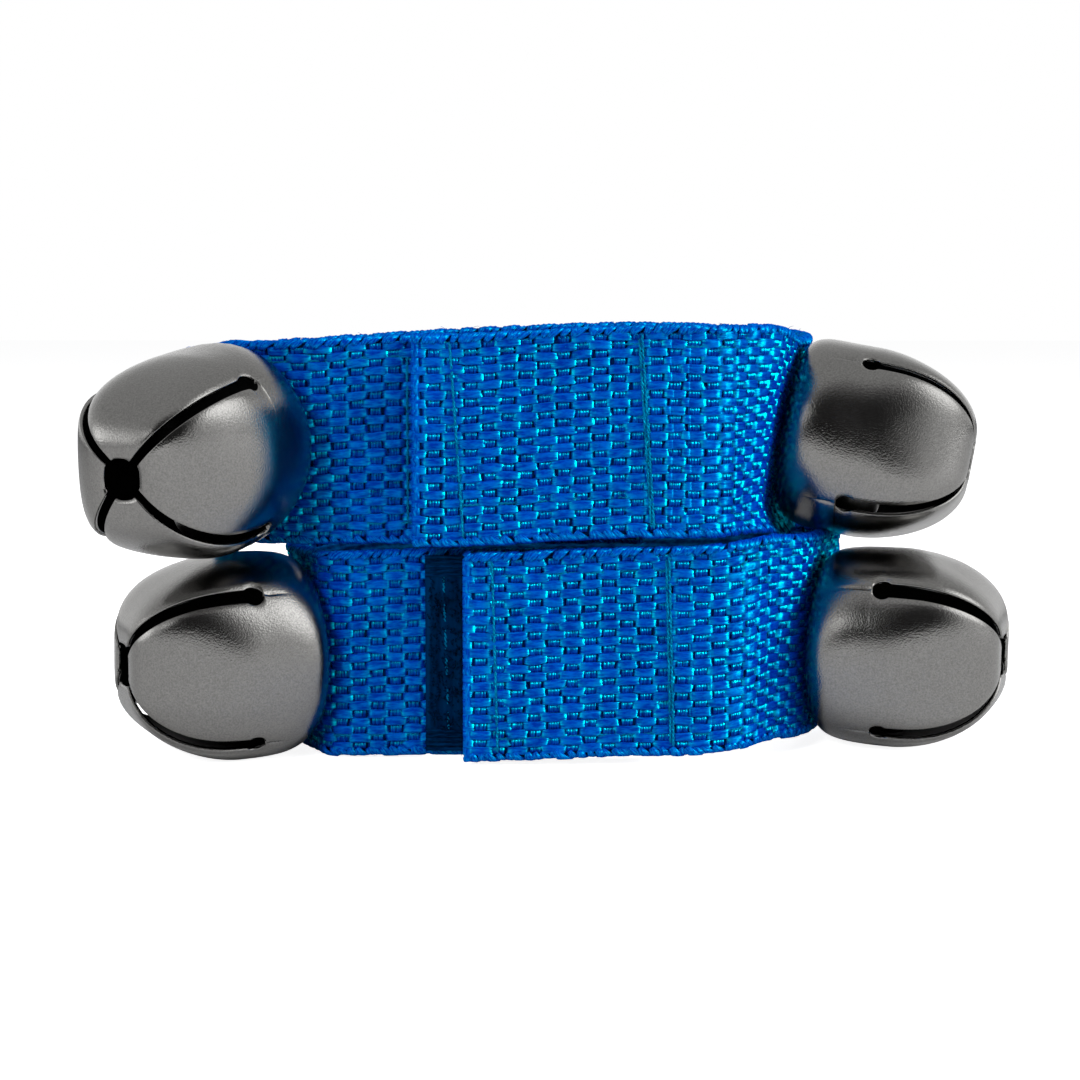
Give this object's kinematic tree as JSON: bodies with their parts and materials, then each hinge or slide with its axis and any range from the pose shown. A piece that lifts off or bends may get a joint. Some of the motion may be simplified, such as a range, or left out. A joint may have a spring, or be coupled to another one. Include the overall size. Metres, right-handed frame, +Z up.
{
  "type": "wrist bells",
  "caption": "Pair of stacked webbing wristbands, each closed by a hook-and-loop flap and carrying riveted four-petal jingle bells with loose pellets inside.",
  "frame": {"origin": "on the ground, below the middle of the pair's bounding box", "axes": "+Z up, flaps facing -Y, +X to the right seen from the front"},
  "size_m": [0.1124, 0.0586, 0.0511],
  "materials": {
    "webbing": "woven",
    "lining": "woven",
    "loop_tape": "looped pile",
    "hook_tape": "hooked",
    "thread": "twisted",
    "nickel_plate": "satin",
    "steel": "plain"
  },
  "bodies": {
    "lower_band": {"lower_webbing": "webbing", "lower_lining": "lining", "lower_loop_tape": "loop_tape", "lower_lining_seam": "thread", "lower_left_rivet": "nickel_plate", "lower_left_washer": "steel", "lower_right_rivet": "nickel_plate", "lower_right_washer": "steel"},
    "lower_flap": {"lower_flap_webbing": "webbing", "lower_hook_tape": "hook_tape", "lower_flap_seam": "thread"},
    "lower_left_bell": {"lower_left_bell_shell": "nickel_plate"},
    "lower_left_pellet": {"lower_left_pellet": "steel"},
    "lower_right_bell": {"lower_right_bell_shell": "nickel_plate"},
    "lower_right_pellet": {"lower_right_pellet": "steel"},
    "upper_band": {"upper_webbing": "webbing", "upper_lining": "lining", "upper_loop_tape": "loop_tape", "upper_lining_seam": "thread", "upper_left_rivet": "nickel_plate", "upper_left_washer": "steel", "upper_right_rivet": "nickel_plate", "upper_right_washer": "steel"},
    "upper_flap": {"upper_flap_webbing": "webbing", "upper_hook_tape": "hook_tape", "upper_flap_seam": "thread"},
    "upper_left_bell": {"upper_left_bell_shell": "nickel_plate"},
    "upper_left_pellet": {"upper_left_pellet": "steel"},
    "upper_right_bell": {"upper_right_bell_shell": "nickel_plate"},
    "upper_right_pellet": {"upper_right_pellet": "steel"}
  },
  "joints": [
    {"name": "upper_band_lift", "type": "slide", "parent": "lower_band", "child": "upper_band", "axis": [0, 0, 1], "range_m": [0, 0.06]},
    {"name": "lower_flap_peel", "type": "hinge", "parent": "lower_band", "child": "lower_flap", "pos_m": [0.01393, -0.01536, 0.01272], "axis": [0, 0, 1], "range_deg": [0, 135]},
    {"name": "lower_left_bell_turn", "type": "hinge", "parent": "lower_band", "child": "lower_left_bell", "pos_m": [-0.0317, -0.00379, 0.01283], "axis": [-0.906, -0.4225, -0.0262], "continuous": true},
    {"name": "lower_left_pellet_rattle", "type": "slide", "parent": "lower_band", "child": "lower_left_pellet", "axis": [-0.0237, -0.0111, 0.9997], "range_m": [0, 0.0151]},
    {"name": "lower_right_bell_turn", "type": "hinge", "parent": "lower_band", "child": "lower_right_bell", "pos_m": [0.03325, 0.00224, 0.01283], "axis": [0.948, -0.3172, -0.0262], "continuous": true},
    {"name": "lower_right_pellet_rattle", "type": "slide", "parent": "lower_band", "child": "lower_right_pellet", "axis": [0.0248, -0.0083, 0.9997], "range_m": [0, 0.0151]},
    {"name": "upper_flap_peel", "type": "hinge", "parent": "upper_band", "child": "upper_flap", "pos_m": [0.01173, -0.01536, 0.03842], "axis": [0, 0, 1], "range_deg": [0, 135]},
    {"name": "upper_left_bell_turn", "type": "hinge", "parent": "upper_band", "child": "upper_left_bell", "pos_m": [-0.03884, -0.00697, 0.03963], "axis": [-0.4782, -0.8626, -0.165], "continuous": true},
    {"name": "upper_left_pellet_rattle", "type": "slide", "parent": "upper_band", "child": "upper_left_pellet", "axis": [-0.08, -0.1444, 0.9863], "range_m": [0, 0.0151]},
    {"name": "upper_right_bell_turn", "type": "hinge", "parent": "upper_band", "child": "upper_right_bell", "pos_m": [0.02964, 0.0072, 0.03963], "axis": [0.9622, -0.2168, -0.165], "continuous": true},
    {"name": "upper_right_pellet_rattle", "type": "slide", "parent": "upper_band", "child": "upper_right_pellet", "axis": [0.161, -0.0363, 0.9863], "range_m": [0, 0.0151]}
  ]
}
